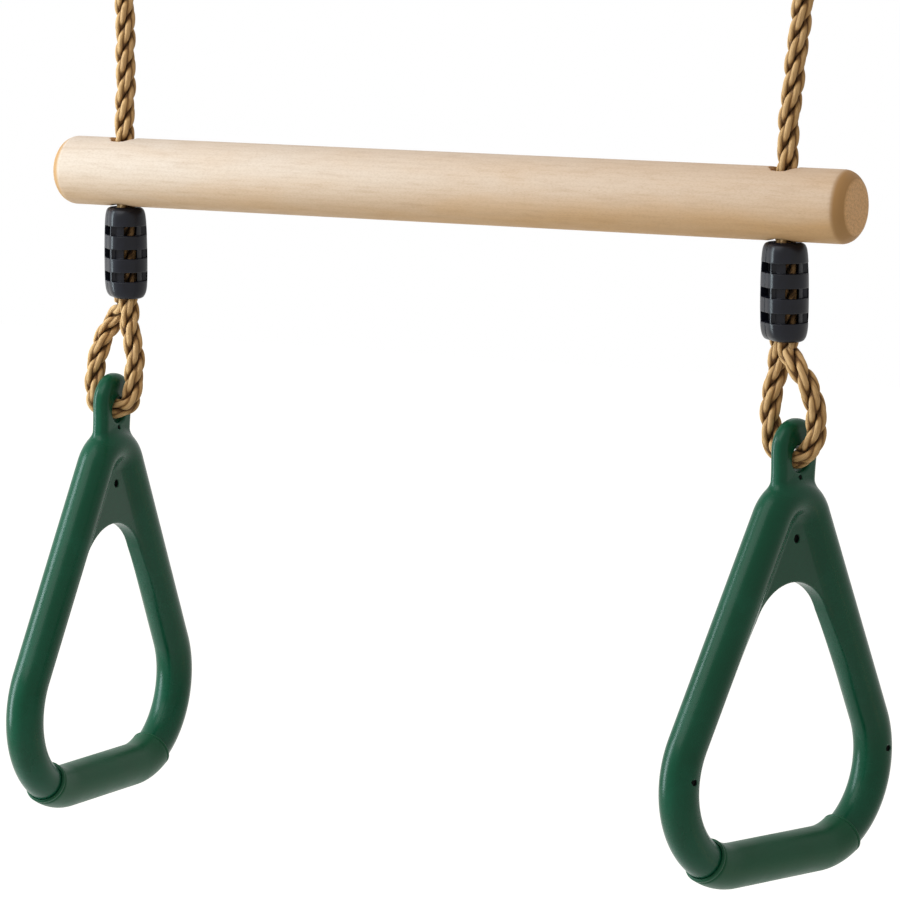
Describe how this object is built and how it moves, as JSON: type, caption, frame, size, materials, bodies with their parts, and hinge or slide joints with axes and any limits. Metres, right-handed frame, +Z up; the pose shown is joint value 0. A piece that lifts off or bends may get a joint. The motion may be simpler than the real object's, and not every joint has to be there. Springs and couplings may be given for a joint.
{
  "type": "trapeze bar with rings",
  "caption": "Hanging trapeze: a wooden bar on laid ropes held by plastic rope clamps, with a triangular plastic hand ring looped under each end.",
  "frame": {"origin": "middle of the line through the lowest wires of both steel hanging rings, which the whole trapeze swings about", "axes": "+X along the bar to its right end, +Y away from the viewer, +Z up"},
  "size_m": [0.4514, 0.1696, 0.576],
  "materials": {
    "bar_wood": "varnished",
    "rope": "laid fibre",
    "clamp_plastic": "satin",
    "ring_plastic": "semi gloss",
    "grip_plastic": "satin",
    "hanging_ring_steel": "zinc plated"
  },
  "bodies": {
    "hangers": {"left_hanging_ring": "hanging_ring_steel", "right_hanging_ring": "hanging_ring_steel"},
    "ropes": {"left_upper_loop": "rope", "left_upper_clamp_standing_rope": "rope", "left_upper_clamp_tail_rope": "rope", "left_lower_clamp_standing_rope": "rope", "left_lower_clamp_tail_rope": "rope", "left_main_rope": "rope", "right_upper_loop": "rope", "right_upper_clamp_standing_rope": "rope", "right_upper_clamp_tail_rope": "rope", "right_lower_clamp_standing_rope": "rope", "right_lower_clamp_tail_rope": "rope", "right_main_rope": "rope", "left_upper_clamp_front": "clamp_plastic", "left_upper_clamp_back": "clamp_plastic", "left_lower_clamp_front": "clamp_plastic", "left_lower_clamp_back": "clamp_plastic", "right_upper_clamp_front": "clamp_plastic", "right_upper_clamp_back": "clamp_plastic", "right_lower_clamp_front": "clamp_plastic", "right_lower_clamp_back": "clamp_plastic"},
    "bar": {"wooden_bar": "bar_wood"},
    "left_loop": {"left_lower_loop": "rope"},
    "left_ring": {"left_ring_frame": "ring_plastic", "left_grip_sleeve": "grip_plastic"},
    "right_loop": {"right_lower_loop": "rope"},
    "right_ring": {"right_ring_frame": "ring_plastic", "right_grip_sleeve": "grip_plastic"}
  },
  "joints": [
    {"name": "trapeze_swing", "type": "hinge", "parent": "hangers", "child": "ropes", "pos_m": [0, 0, 0], "axis": [1, 0, 0], "range_deg": [-60, 60]},
    {"name": "bar_lift", "type": "slide", "parent": "ropes", "child": "bar", "axis": [0, 0, 1], "range_m": [0, 0.01]},
    {"name": "left_loop_twist", "type": "hinge", "parent": "ropes", "child": "left_loop", "pos_m": [-0.189, 0, -0.2587], "axis": [0, 0, 1], "range_deg": [-60, 60]},
    {"name": "left_ring_swing", "type": "hinge", "parent": "left_loop", "child": "left_ring", "pos_m": [-0.1947, -0.0056, -0.3164], "axis": [-0.9969, -0.0662, 0.0419], "range_deg": [-60, 60]},
    {"name": "right_loop_twist", "type": "hinge", "parent": "ropes", "child": "right_loop", "pos_m": [0.1876, 0, -0.2587], "axis": [0, 0, 1], "range_deg": [-60, 60]},
    {"name": "right_ring_swing", "type": "hinge", "parent": "right_loop", "child": "right_ring", "pos_m": [0.1933, 0.0003, -0.3141], "axis": [-0.9795, 0.2011, 0.0157], "range_deg": [-60, 60]}
  ]
}
